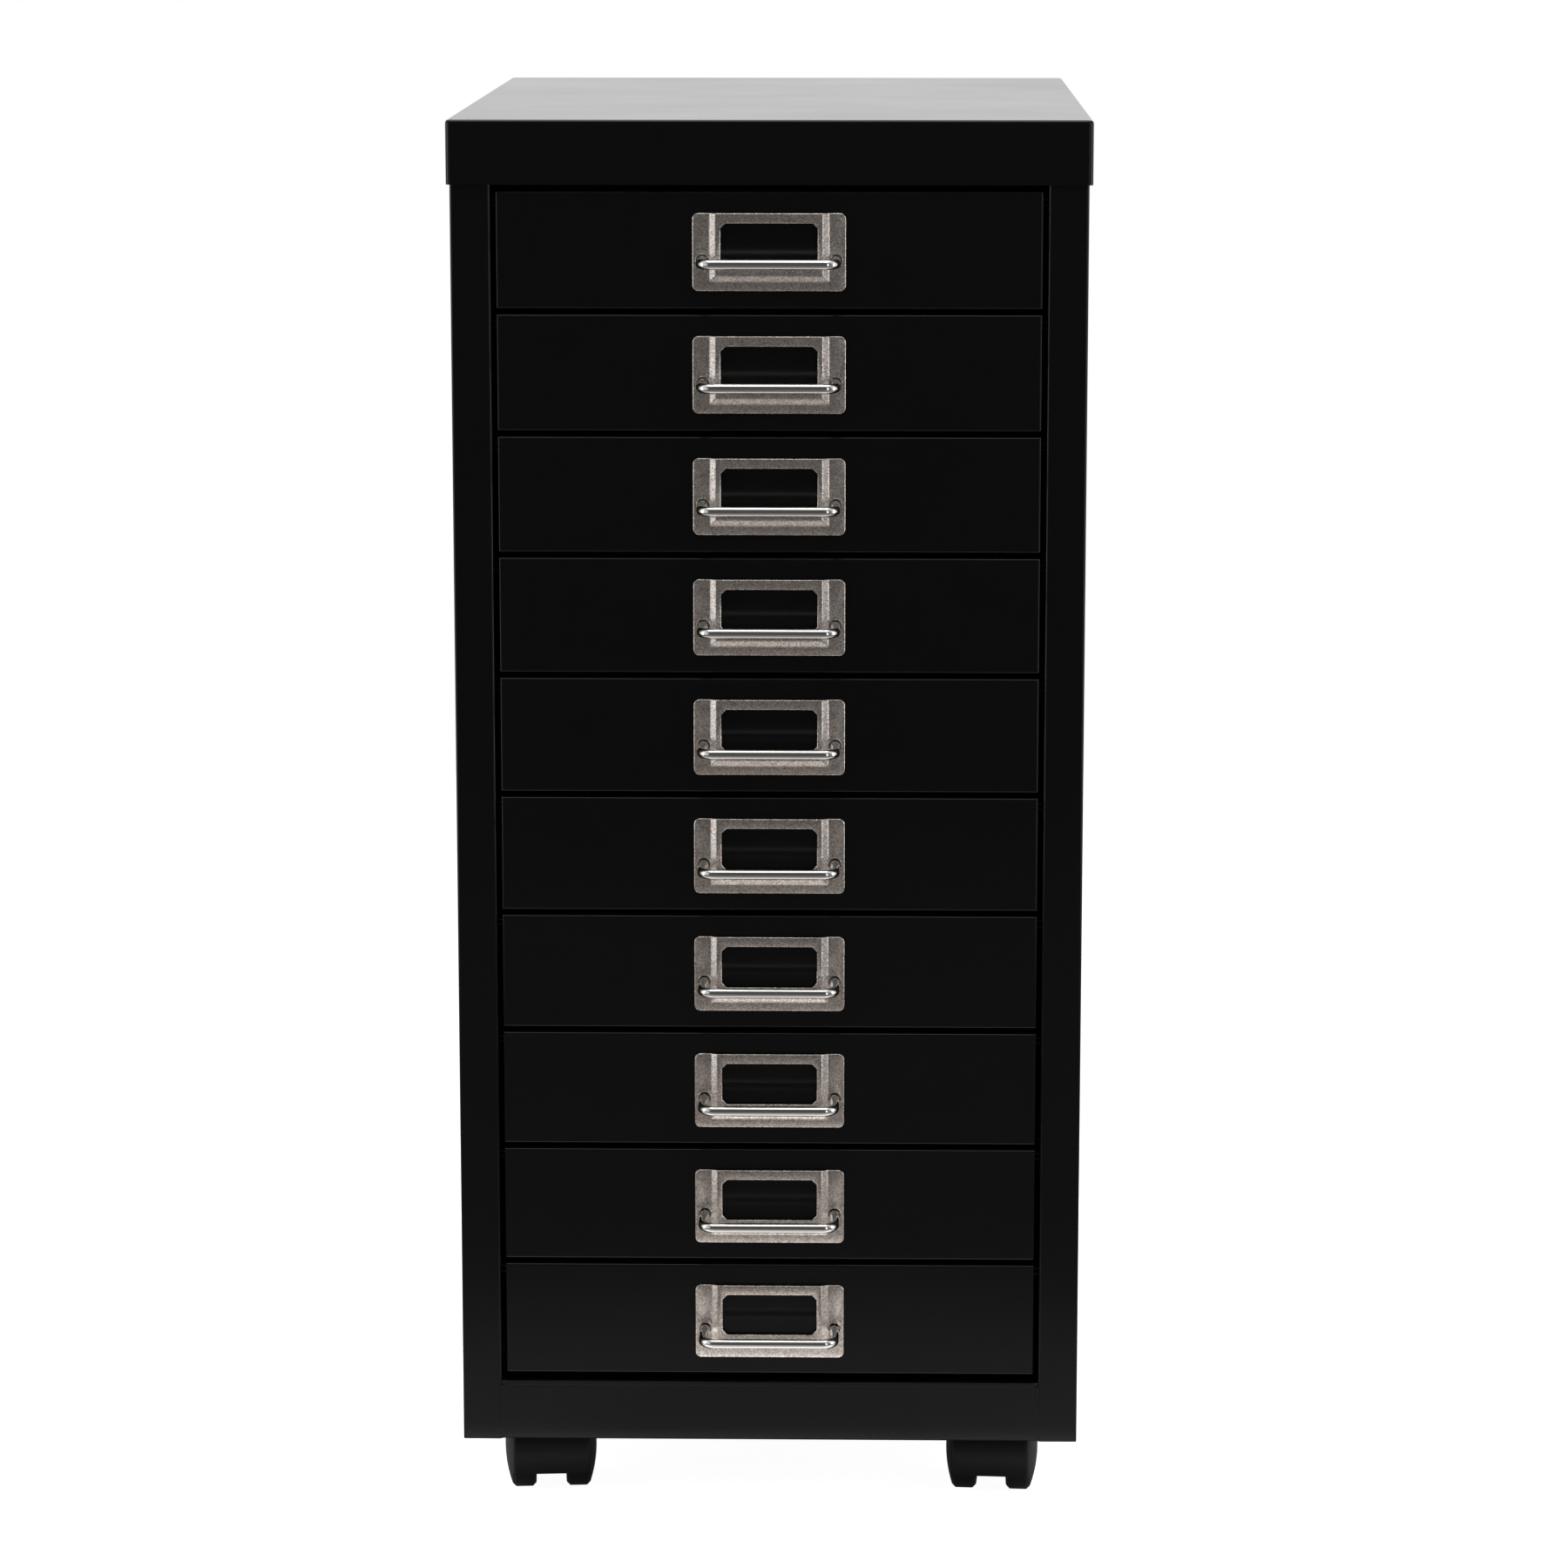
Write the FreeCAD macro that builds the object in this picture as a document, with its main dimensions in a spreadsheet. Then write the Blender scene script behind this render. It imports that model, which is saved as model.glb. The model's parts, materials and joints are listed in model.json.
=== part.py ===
"""Ten-drawer steel cabinet for A4 paper on four twin-wheel swivel casters.

The frame is +Z up with the origin on the floor, under the middle of the cabinet's whole box, handles
included. The drawer fronts face -Y and +X is to the right of someone who looks at them.
"""
import FreeCAD, Part
import math
import os
import re
import Sketcher

VECTOR = FreeCAD.Vector
Z_UP = VECTOR(0, 0, 1)

SIZES = (
    ("body_width", 279.0),
    ("body_depth", 404.0),
    ("sheet", 0.8),
    ("bend_radius", 1.3),
    ("stile_width", 17.7),
    ("stile_lip", 10.0),
    ("rear_flange", 14.0),
    ("back_inset", 0.6),
    ("skirt_height", 28.3),
    ("cap_side_lap", 1.6),
    ("cap_end_lap", 1.0),
    ("cap_corner_radius", 2.5),
    ("cap_edge_radius", 1.8),
    ("rail_lift", 0.9),
    ("rail_flange", 14.0),
    ("plinth_height", 27.5),
    ("plinth_top_flange", 14.0),
    ("plinth_foot_flange", 3.0),
    ("hem_height", 2.0),
    ("hem_stand", 0.35),
    ("hem_corner_radius", 0.3),
    ("hem_notch", 1.6),
    ("base_flange", 12.0),
    ("base_notch_gap", 1.0),
    ("drawer_count", 10),
    ("drawer_pitch", 53.7),
    ("drawer_gap", 2.5),
    ("drawer_side_gap", 2.3),
    ("first_gap", 2.8),
    ("last_gap", 3.9),
    ("drawer_recess", 0.3),
    ("drawer_rear_space", 18.0),
    ("front_return", 10.0),
    ("front_edge_radius", 1.0),
    ("tray_inset", 6.5),
    ("tray_wall_height", 45.2),
    ("tray_back_drop", 5.0),
    ("tray_flange", 6.0),
    ("ledge_gap", 1.0),
    ("slide_clearance", 0.3),
    ("keeper_clearance", 0.6),
    ("runner_rear_space", 14.0),
    ("frame_width", 67.0),
    ("frame_height", 33.9),
    ("frame_drop", 9.4),
    ("frame_sheet", 0.8),
    ("frame_corner_radius", 2.5),
    ("card_pocket_width", 52.4),
    ("card_pocket_height", 30.0),
    ("card_pocket_raise", 1.4),
    ("card_step_run", 2.8),
    ("window_width", 42.6),
    ("window_drop", 4.35),
    ("window_height", 18.65),
    ("window_chamfer", 2.2),
    ("bail_wire", 4.5),
    ("bail_spacing", 58.4),
    ("bail_reach", 25.0),
    ("bail_bend_radius", 5.5),
    ("bail_drop", 20.5),
    ("bail_leg_tail", 2.5),
    ("bail_hole_clearance", 0.2),
    ("bail_pocket_clearance", 0.5),
    ("washer_rim", 3.4),
    ("washer_sheet", 0.7),
    ("caster_height", 56.5),
    ("caster_side_inset", 37.0),
    ("caster_end_inset", 40.0),
    ("caster_trail", 11.0),
    ("plate_side", 40.0),
    ("plate_sheet", 2.0),
    ("plate_corner_radius", 4.0),
    ("screw_spacing", 29.0),
    ("screw_size", 5.0),
    ("screw_hole_clearance", 0.25),
    ("screw_head_width", 9.0),
    ("screw_head_height", 2.4),
    ("screw_tip", 0.3),
    ("nut_width", 8.0),
    ("nut_height", 3.2),
    ("kingpin_size", 8.0),
    ("kingpin_end_gap", 0.5),
    ("axle_size", 5.0),
    ("axle_end_gap", 0.4),
    ("running_clearance", 0.05),
    ("wheel_size", 40.0),
    ("wheel_pair_width", 42.0),
    ("wheel_dome", 3.1),
    ("wheel_rim_step", 1.6),
    ("wheel_inner_bevel", 1.6),
    ("wheel_hub_radius", 6.5),
    ("wheel_rim_wall", 4.0),
    ("wheel_recess", 4.0),
    ("wheel_hub_stand", 0.4),
    ("wheel_cap_wall", 4.0),
    ("hood_width", 35.5),
    ("hood_wall", 1.8),
    ("hood_gap", 1.2),
    ("hood_edge_radius", 1.8),
    ("hood_front_drop", 8.5),
    ("hood_rear_rise", 3.0),
    ("yoke_web", 12.6),
    ("yoke_floor", 2.0),
    ("neck_size", 19.0),
    ("front_left_turn", 5.0),
    ("front_right_turn", -4.0),
    ("rear_left_turn", 0.0),
    ("rear_right_turn", 0.0),
    ("overrun", 1.0),
)

DERIVED = {
    "half_width": "body_width / 2",
    "opening_half": "half_width - stile_width",
    "bend_inside": "bend_radius - sheet",
    "drawer_height": "drawer_pitch - drawer_gap",
    "front_half": "opening_half - drawer_side_gap",
    "stack_bottom": "plinth_height + last_gap",
    "stack_height": "drawer_count * drawer_pitch - drawer_gap",
    "body_height": "stack_bottom + stack_height + first_gap + skirt_height",
    "cap_underside": "body_height - sheet",
    "bead_gap": "bend_radius - sqrt(2 * bend_radius * sheet - sheet * sheet)",
    "base_top": "plinth_height - sheet",
    "base_underside": "base_top - sheet",
    "floor_gap": "caster_height - base_underside",
    "handle_reach": "bail_reach + bail_wire / 2 - drawer_recess",
    "face_y": "(handle_reach - body_depth - cap_end_lap) / 2",
    "tray_half": "front_half - tray_inset",
    "tray_length": "body_depth - drawer_rear_space - drawer_recess",
    "tray_top": "tray_wall_height + sheet",
    "ledge_inner": "tray_half + ledge_gap",
    "ledge_top": "tray_wall_height - slide_clearance",
    "keeper_underside": "tray_top + keeper_clearance",
    "frame_top": "drawer_height - frame_drop",
    "frame_bottom": "frame_top - frame_height",
    "bail_level": "frame_top - bail_drop",
    "bail_leg_end": "sheet + washer_sheet + bail_leg_tail",
    "caster_across": "half_width - caster_side_inset",
    "caster_front_y": "face_y + caster_end_inset",
    "caster_rear_y": "face_y + body_depth - caster_end_inset",
    "wheel_radius": "wheel_size / 2",
    "plate_underside": "caster_height - plate_sheet",
    "hood_inner_radius": "wheel_radius + hood_gap",
    "hood_radius": "hood_inner_radius + hood_wall",
    "pin_bore_floor": "wheel_radius + hood_rear_rise + yoke_floor",
    "hub_face": "yoke_web / 2 + slide_clearance",
    "rim_face": "hub_face + wheel_hub_stand",
    "wheel_side": "wheel_pair_width / 2",
    "dome_start": "wheel_side - wheel_dome",
    "dome_rim": "wheel_radius - wheel_rim_step",
    "dome_radius": "(dome_rim * dome_rim + wheel_dome * wheel_dome) / (2 * wheel_dome)",
    "bore_end": "wheel_side - wheel_cap_wall",
    "axle_bore": "axle_size / 2 + running_clearance",
}

SIZE_NAMES = {name for name, value in SIZES}

doc = FreeCAD.newDocument("drawer_cabinet")
sheet_of_sizes = doc.addObject("Spreadsheet::Sheet", "Sizes")
for row, (name, value) in enumerate(SIZES, start=1):
    sheet_of_sizes.set("A%d" % row, name)
    sheet_of_sizes.set("B%d" % row, str(value))
    sheet_of_sizes.setAlias("B%d" % row, name)
doc.recompute()


def formula(text):
    """The formula with every named size read from the sheet and every derived size written out."""
    def put(word):
        name = word.group()
        if name in DERIVED:
            return "(" + formula(DERIVED[name]) + ")"
        return "Sizes." + name if name in SIZE_NAMES else name
    return re.sub(r"[a-z][a-z_]+", put, text)


def size(text):
    """The value of a formula of named sizes."""
    return float(sheet_of_sizes.evalExpression(formula(text)))


def bind(thing, prop, text):
    thing.setExpression(prop, formula(text))


def place(thing, across="0", back="0", up="0"):
    """Ties an object's place to the sizes."""
    bind(thing, "Placement.Base.x", across)
    bind(thing, "Placement.Base.y", back)
    bind(thing, "Placement.Base.z", up)
    return thing


def new_body(label):
    body = doc.addObject("PartDesign::Body", label)
    body.Label = label
    return body


def in_cabinet(thing):
    """Places a piece whose own zero is the stiles' front face at the casing's bottom edge."""
    return place(thing, "0", "face_y", "floor_gap")


def new_sketch(body, plane, offset="0", across="0", up="0", flipped=False):
    """A sketch on one of the body's own planes, moved along that plane's normal by the offset."""
    sketch = body.newObject("Sketcher::SketchObject", body.Label + "_outline")
    origin_plane = [item for item in body.Origin.OriginFeatures if item.Role == plane][0]
    sketch.AttachmentSupport = [(origin_plane, "")]
    sketch.MapMode = "FlatFace"
    if flipped:
        sketch.AttachmentOffset = FreeCAD.Placement(VECTOR(), FreeCAD.Rotation(VECTOR(0, 1, 0), 180))
    bind(sketch, "AttachmentOffset.Base.x", across)
    bind(sketch, "AttachmentOffset.Base.y", up)
    bind(sketch, "AttachmentOffset.Base.z", offset)
    return sketch


def hold(sketch, kind, geometry, point, text):
    """Holds one coordinate of a point at a formula's value."""
    index = sketch.addConstraint(Sketcher.Constraint(kind, -1, 1, geometry, point, size(text)))
    bind(sketch, "Constraints[%d]" % index, text)


def pin(sketch, geometry, point, corner):
    hold(sketch, "DistanceX", geometry, point, corner[0])
    hold(sketch, "DistanceY", geometry, point, corner[1])


def add_circle(sketch, across, up, radius):
    middle = VECTOR(size(across), size(up), 0)
    circle = sketch.addGeometry(Part.Circle(middle, Z_UP, size(radius)), False)
    pin(sketch, circle, 3, (across, up))
    index = sketch.addConstraint(Sketcher.Constraint("Radius", circle, size(radius)))
    bind(sketch, "Constraints[%d]" % index, radius)


def arc_between(start, end, radius):
    """A circle's arc from start to end, turning left for a positive radius, and its forward flag."""
    chord = end - start
    middle = (start + end) * 0.5
    rise = math.sqrt(max(radius * radius - chord.Length * chord.Length / 4, 0))
    left = VECTOR(-chord.y, chord.x, 0).normalize()
    centre = middle + left * math.copysign(rise, radius)
    first, last = (start, end) if radius > 0 else (end, start)
    turn_first = math.atan2(first.y - centre.y, first.x - centre.x)
    turn_last = math.atan2(last.y - centre.y, last.x - centre.x)
    if turn_last < turn_first:
        turn_last += 2 * math.pi
    circle = Part.Circle(centre, Z_UP, abs(radius))
    return Part.ArcOfCircle(circle, turn_first, turn_last), radius > 0


def add_outline(sketch, corners, closed=True):
    """Draws corner after corner, and holds each at its formulas.

    A corner is (x, y), (x, y, round) with the radius of a rounded square corner, or
    (x, y, None, bow) with the radius of the arc that leaves it: left turning, or right if negative.
    """
    count = len(corners)
    at = [VECTOR(size(corner[0]), size(corner[1]), 0) for corner in corners]
    rounds = [corner[2] if len(corner) > 2 else None for corner in corners]
    bows = [corner[3] if len(corner) > 3 else None for corner in corners]
    leave = []
    arrive = []
    for k, corner in enumerate(corners):
        if rounds[k] is None:
            leave.append(at[k])
            arrive.append(at[k])
            continue
        back = (at[k - 1] - at[k]).normalize()
        ahead = (at[(k + 1) % count] - at[k]).normalize()
        arrive.append(at[k] + back * size(rounds[k]))
        leave.append(at[k] + ahead * size(rounds[k]))
    edges = []
    for k in range(count if closed else count - 1):
        after = (k + 1) % count
        if bows[k] is None:
            edges.append((sketch.addGeometry(Part.LineSegment(leave[k], arrive[after]), False), True))
        else:
            arc, forward = arc_between(leave[k], arrive[after], size(bows[k]))
            edges.append((sketch.addGeometry(arc, False), forward))
            index = sketch.addConstraint(Sketcher.Constraint("Radius", edges[-1][0], abs(size(bows[k]))))
            bind(sketch, "Constraints[%d]" % index, "abs(%s)" % bows[k])
    for k, corner in enumerate(corners):
        if not closed and k in (0, count - 1):
            edge = edges[0] if k == 0 else edges[-1]
            pin(sketch, edge[0], 1 if k == 0 else 2, corner)
            continue
        before, forward_before = edges[k - 1]
        after, forward_after = edges[k]
        end_before = 2 if forward_before else 1
        start_after = 1 if forward_after else 2
        if rounds[k] is None:
            sketch.addConstraint(Sketcher.Constraint("Coincident", before, end_before, after, start_after))
            pin(sketch, after, start_after, corner)
            continue
        turn = (arrive[k] - at[k]).cross(leave[k] - at[k]).z
        bend, forward = arc_between(arrive[k], leave[k], math.copysign(size(rounds[k]), -turn))
        arc = sketch.addGeometry(bend, False)
        sketch.addConstraint(Sketcher.Constraint("Tangent", before, end_before, arc, 1 if forward else 2))
        sketch.addConstraint(Sketcher.Constraint("Tangent", arc, 2 if forward else 1, after, start_after))
        index = sketch.addConstraint(Sketcher.Constraint("Radius", arc, size(rounds[k])))
        bind(sketch, "Constraints[%d]" % index, rounds[k])
    for k in range(len(edges)):
        after = (k + 1) % count
        if rounds[k] is None and rounds[after] is None:
            continue
        upright = abs(at[k].x - at[after].x) < abs(at[k].y - at[after].y)
        sketch.addConstraint(Sketcher.Constraint("Vertical" if upright else "Horizontal", edges[k][0]))
        if rounds[k] is not None and rounds[after] is not None:
            kind = "DistanceX" if upright else "DistanceY"
            hold(sketch, kind, edges[k][0], 1, corners[k][0] if upright else corners[k][1])
    return sketch


def box_outline(left, right, low, high, corner=None):
    """The four corners of an upright rectangle, rounded where a corner radius is given."""
    return [(x, y, corner) for x, y in ((left, low), (right, low), (right, high), (left, high))]


def mirrored(corners):
    """The same outline on the other side of the middle."""
    return [("-(%s)" % corner[0],) + tuple(corner[1:]) for corner in corners]


def pad(body, sketch, length, symmetric=False, backward=False):
    feature = body.newObject("PartDesign::Pad", body.Label + "_pad")
    feature.Profile = sketch
    feature.Reversed = backward
    if symmetric:
        feature.SideType = "Symmetric"
    bind(feature, "Length", length)
    doc.recompute()
    return feature


def pocket(body, sketch, length, symmetric=False, backward=False):
    """Cuts the sketch out of the body, and stops the build if nothing was cut."""
    before = body.Shape.Volume
    feature = body.newObject("PartDesign::Pocket", body.Label + "_cut")
    feature.Profile = sketch
    feature.Reversed = backward
    if symmetric:
        feature.SideType = "Symmetric"
    bind(feature, "Length", length)
    doc.recompute()
    if not body.Shape.Volume < before:
        raise RuntimeError(feature.Label + " cuts nothing")
    return feature


def round_edges(body, feature, radius, chosen):
    """Rounds the feature's edges whose middle point passes the test."""
    names = []
    for number, edge in enumerate(feature.Shape.Edges, start=1):
        if chosen(edge.valueAt((edge.FirstParameter + edge.LastParameter) / 2), edge):
            names.append("Edge%d" % number)
    if not names:
        raise RuntimeError(feature.Label + " has no such edge")
    fillet = body.newObject("PartDesign::Fillet", body.Label + "_round")
    fillet.Base = (feature, names)
    bind(fillet, "Radius", radius)
    doc.recompute()
    return fillet


def near(first, second):
    return abs(first - second) < 0.001


def group(label, pieces):
    """One sub-part that holds several separate solids."""
    compound = doc.addObject("Part::Compound", label)
    compound.Label = label
    compound.Links = pieces
    doc.recompute()
    return compound


def make_side_panel(label, right):
    body = in_cabinet(new_body(label))
    corners = [
        ("half_width", "0", "bend_radius"),
        ("half_width", "body_depth - sheet", "bend_radius"),
        ("half_width - rear_flange", "body_depth - sheet"),
        ("half_width - rear_flange", "body_depth - 2 * sheet"),
        ("half_width - sheet", "body_depth - 2 * sheet", "bend_inside"),
        ("half_width - sheet", "sheet", "bend_inside"),
        ("opening_half + sheet", "sheet", "bend_inside"),
        ("opening_half + sheet", "stile_lip"),
        ("opening_half", "stile_lip"),
        ("opening_half", "0", "bend_radius"),
    ]
    section = add_outline(new_sketch(body, "XY_Plane"), corners if right else mirrored(corners))
    pad(body, section, "cap_underside")
    return body


def make_back_panel():
    body = in_cabinet(new_body("back_panel"))
    section = new_sketch(body, "XY_Plane")
    edge = "half_width - back_inset"
    add_outline(section, box_outline("-(%s)" % edge, edge, "body_depth - sheet", "body_depth"))
    pad(body, section, "cap_underside")
    return body


def make_top_cap():
    body = in_cabinet(new_body("top_cap"))
    top = new_sketch(body, "XY_Plane", "body_height - skirt_height")
    side = "half_width + cap_side_lap"
    add_outline(top, box_outline("-(%s)" % side, side, "-cap_end_lap", "body_depth + cap_end_lap",
                                 "cap_corner_radius"))
    block = pad(body, top, "skirt_height")
    level = size("body_height")
    round_edges(body, block, "cap_edge_radius", lambda middle, edge: near(middle.z, level))
    inside = new_sketch(body, "XY_Plane", "body_height - skirt_height")
    hollow = side + " - sheet"
    add_outline(inside, box_outline("-(%s)" % hollow, hollow, "sheet - cap_end_lap",
                                    "body_depth + cap_end_lap - sheet", "cap_corner_radius - sheet"))
    pocket(body, inside, "skirt_height - sheet", backward=True)
    return body


def make_top_rail():
    body = in_cabinet(new_body("top_rail"))
    low = "body_height - skirt_height + rail_lift"
    section = new_sketch(body, "YZ_Plane")
    add_outline(section, [
        ("0", low, "bend_radius"),
        ("rail_flange", low),
        ("rail_flange", low + " + sheet"),
        ("sheet", low + " + sheet", "bend_inside"),
        ("sheet", "cap_underside"),
        ("0", "cap_underside"),
    ])
    pad(body, section, "2 * opening_half", symmetric=True)
    return body


def make_front_plinth():
    """The folded plinth, with the weld beads that fill the grooves beside the two stiles."""
    body = in_cabinet(new_body("front_plinth"))
    section = new_sketch(body, "YZ_Plane")
    add_outline(section, [
        ("0", "0", "bend_radius"),
        ("plinth_foot_flange", "0"),
        ("plinth_foot_flange", "sheet"),
        ("sheet", "sheet", "bend_inside"),
        ("sheet", "base_top", "bend_inside"),
        ("plinth_top_flange", "base_top"),
        ("plinth_top_flange", "plinth_height"),
        ("0", "plinth_height", "bend_radius"),
    ])
    pad(body, section, "2 * opening_half", symmetric=True)
    hem = new_sketch(body, "YZ_Plane")
    add_outline(hem, [
        ("-hem_stand", "plinth_height - hem_height", "hem_corner_radius"),
        ("sheet / 2", "plinth_height - hem_height"),
        ("sheet / 2", "plinth_height"),
        ("-hem_stand", "plinth_height", "hem_corner_radius"),
    ])
    pad(body, hem, "2 * (opening_half - hem_notch)", symmetric=True)
    notch = new_sketch(body, "XZ_Plane", "hem_stand + overrun")
    for left, right in (("opening_half - hem_notch", "opening_half + overrun"),
                        ("-(opening_half + overrun)", "-(opening_half - hem_notch)")):
        add_outline(notch, box_outline(left, right, "plinth_height - hem_height",
                                       "plinth_height + overrun"))
    pocket(body, notch, "hem_stand + overrun + sheet / 2")
    beads = new_sketch(body, "XY_Plane", "bend_radius")
    for side, bow in (("", "-bend_radius"), ("-", "bend_radius")):
        add_outline(beads, [
            (side + "opening_half", "0"),
            (side + "(opening_half + sheet)", "0"),
            (side + "(opening_half + sheet)", "bead_gap", None, bow),
            (side + "(opening_half + bead_gap)", "sheet"),
            (side + "opening_half", "sheet"),
        ])
    pad(body, beads, "plinth_height - hem_height - bend_radius")
    return body


def make_base_pan():
    body = in_cabinet(new_body("base_pan"))
    floor_outline = new_sketch(body, "XY_Plane", "base_underside")
    notch_end = "stile_lip + base_notch_gap"
    rear_end = "body_depth - sheet - bend_radius"
    right = [
        ("opening_half", "bend_radius"),
        ("opening_half", notch_end),
        ("half_width - sheet", notch_end),
        ("half_width - sheet", rear_end),
    ]
    add_outline(floor_outline, right + mirrored(right)[::-1])
    pad(body, floor_outline, "sheet")
    flanges = new_sketch(body, "XY_Plane", "base_underside + sheet / 2")
    strip = box_outline("half_width - 2 * sheet", "half_width - sheet", notch_end, rear_end)
    add_outline(flanges, strip)
    add_outline(flanges, mirrored(strip))
    pad(body, flanges, "base_flange + sheet / 2", backward=True)
    holes = new_sketch(body, "XY_Plane", "base_top + overrun")
    for across, back in screw_places():
        add_circle(holes, across, back + " - face_y", "screw_size / 2 + screw_hole_clearance")
    pocket(body, holes, "sheet + 2 * overrun")
    return body


def make_runner_panel(label, right):
    """An inner sheet with one channel for each drawer's flange, and a stop at each channel's end."""
    body = in_cabinet(new_body(label))
    mirror = (lambda corners: corners) if right else mirrored
    web = new_sketch(body, "XY_Plane", "base_top")
    rear = "body_depth - runner_rear_space"
    add_outline(web, mirror([
        ("opening_half", "stile_lip"),
        ("opening_half + sheet", "stile_lip"),
        ("opening_half + sheet", rear + " - sheet", "bend_inside"),
        ("half_width - sheet", rear + " - sheet"),
        ("half_width - sheet", rear),
        ("opening_half", rear, "bend_radius"),
    ]))
    pad(body, web, "cap_underside - base_top")
    channel = new_sketch(body, "XZ_Plane", "-(stile_lip + base_notch_gap)")
    root_side = "opening_half + sheet / 2"
    for low in ("stack_bottom + ledge_top - sheet", "stack_bottom + keeper_underside"):
        add_outline(channel, mirror(box_outline("ledge_inner", root_side, low, low + " + sheet")))
    channel_end = "body_depth - runner_rear_space - bend_radius"
    ledges = pad(body, channel, channel_end + " - stile_lip - base_notch_gap", backward=True)
    stop_face = "body_depth - drawer_rear_space + slide_clearance"
    stop_outline = new_sketch(body, "XZ_Plane", "-(%s)" % stop_face)
    add_outline(stop_outline, mirror(box_outline(
        "ledge_inner", root_side, "stack_bottom + ledge_top - sheet / 2",
        "stack_bottom + keeper_underside + sheet / 2")))
    stop = pad(body, stop_outline, "sheet", backward=True)
    rows = body.newObject("PartDesign::LinearPattern", label + "_rows")
    rows.Originals = [ledges, stop]
    rows.Direction = ([item for item in body.Origin.OriginFeatures if item.Role == "Z_Axis"][0], [""])
    bind(rows, "Length", "(drawer_count - 1) * drawer_pitch")
    bind(rows, "Occurrences", "drawer_count")
    body.Tip = rows
    doc.recompute()
    return body


def at_drawer(thing, number):
    """Places a piece whose own zero is its drawer front's lower edge; drawer 1 is the top one."""
    thing_up = "floor_gap + stack_bottom + (drawer_count - %d) * drawer_pitch" % number
    return place(thing, "0", "face_y + drawer_recess", thing_up)


def make_tray(number):
    body = at_drawer(new_body("drawer_%02d_tray" % number), number)
    front = new_sketch(body, "XZ_Plane")
    add_outline(front, box_outline("-front_half", "front_half", "0", "drawer_height"))
    block = pad(body, front, "front_return", backward=True)
    round_edges(body, block, "front_edge_radius", lambda middle, edge: near(middle.y, 0))
    hollow = new_sketch(body, "XZ_Plane", "-(front_return + overrun)")
    add_outline(hollow, box_outline("sheet - front_half", "front_half - sheet", "sheet",
                                    "drawer_height - sheet"))
    pocket(body, hollow, "front_return + overrun - sheet", backward=True)
    right = [
        ("tray_half", "sheet", "bend_radius"),
        ("tray_half", "tray_wall_height"),
        ("tray_half + tray_flange", "tray_wall_height"),
        ("tray_half + tray_flange", "tray_top"),
        ("tray_half - sheet", "tray_top", "bend_radius"),
        ("tray_half - sheet", "2 * sheet", "bend_inside"),
    ]
    section = new_sketch(body, "XZ_Plane", "-sheet / 2")
    add_outline(section, right + mirrored(right)[::-1])
    pad(body, section, "tray_length - sheet / 2", backward=True)
    rear = new_sketch(body, "XZ_Plane", "sheet - tray_length")
    add_outline(rear, box_outline("sheet / 2 - tray_half", "tray_half - sheet / 2", "1.5 * sheet",
                                  "tray_top - tray_back_drop"))
    pad(body, rear, "sheet", backward=True)
    holes = new_sketch(body, "XZ_Plane", "overrun")
    for side in ("-bail_spacing / 2", "bail_spacing / 2"):
        add_circle(holes, side, "bail_level", "bail_wire / 2 + bail_hole_clearance")
    pocket(body, holes, "sheet + 2 * overrun")
    return body


def card_pocket(sketch, inset, top):
    """The pressed pocket's outline: open at the top, narrower by the inset at both sides and below."""
    half = "card_pocket_width / 2 - " + inset
    low = "frame_top - card_pocket_height + " + inset
    return add_outline(sketch, box_outline("-(%s)" % half, half, low, top))


def loft(body, kind, first, last):
    feature = body.newObject(kind, body.Label + "_press")
    feature.Profile = first
    feature.Sections = [last]
    feature.Ruled = True
    doc.recompute()
    return feature


def make_label_frame(number):
    body = at_drawer(new_body("drawer_%02d_label_frame" % number), number)
    plate = new_sketch(body, "XZ_Plane")
    add_outline(plate, box_outline("-frame_width / 2", "frame_width / 2", "frame_bottom", "frame_top",
                                   "frame_corner_radius"))
    pad(body, plate, "frame_sheet")
    foot = card_pocket(new_sketch(body, "XZ_Plane", "frame_sheet"), "0", "frame_top")
    crown = card_pocket(new_sketch(body, "XZ_Plane", "frame_sheet + card_pocket_raise"),
                        "card_step_run", "frame_top")
    loft(body, "PartDesign::AdditiveLoft", foot, crown)
    open_top = "frame_top + overrun"
    mouth = card_pocket(new_sketch(body, "XZ_Plane"), "0", open_top)
    depth = card_pocket(new_sketch(body, "XZ_Plane", "card_pocket_raise"), "card_step_run", open_top)
    loft(body, "PartDesign::SubtractiveLoft", mouth, depth)
    window = new_sketch(body, "XZ_Plane", "frame_sheet + card_pocket_raise + overrun")
    top = "frame_top - window_drop"
    low = top + " - window_height"
    right = [
        ("window_width / 2 - window_chamfer", low),
        ("window_width / 2", low + " + window_chamfer"),
        ("window_width / 2", top + " - window_chamfer"),
        ("window_width / 2 - window_chamfer", top),
    ]
    add_outline(window, right + mirrored(right)[::-1])
    pocket(body, window, "frame_sheet + card_pocket_raise + 2 * overrun")
    holes = new_sketch(body, "XZ_Plane", "frame_sheet + overrun")
    for side in ("-bail_spacing / 2", "bail_spacing / 2"):
        add_circle(holes, side, "bail_level", "bail_wire / 2 + bail_pocket_clearance")
    pocket(body, holes, "frame_sheet + 2 * overrun")
    return body


def cylinder(label, radius, height):
    piece = doc.addObject("Part::Cylinder", label)
    bind(piece, "Radius", radius)
    bind(piece, "Height", height)
    return piece


def cut(label, base, tool):
    piece = doc.addObject("Part::Cut", label)
    piece.Base = base
    piece.Tool = tool
    return piece


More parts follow.
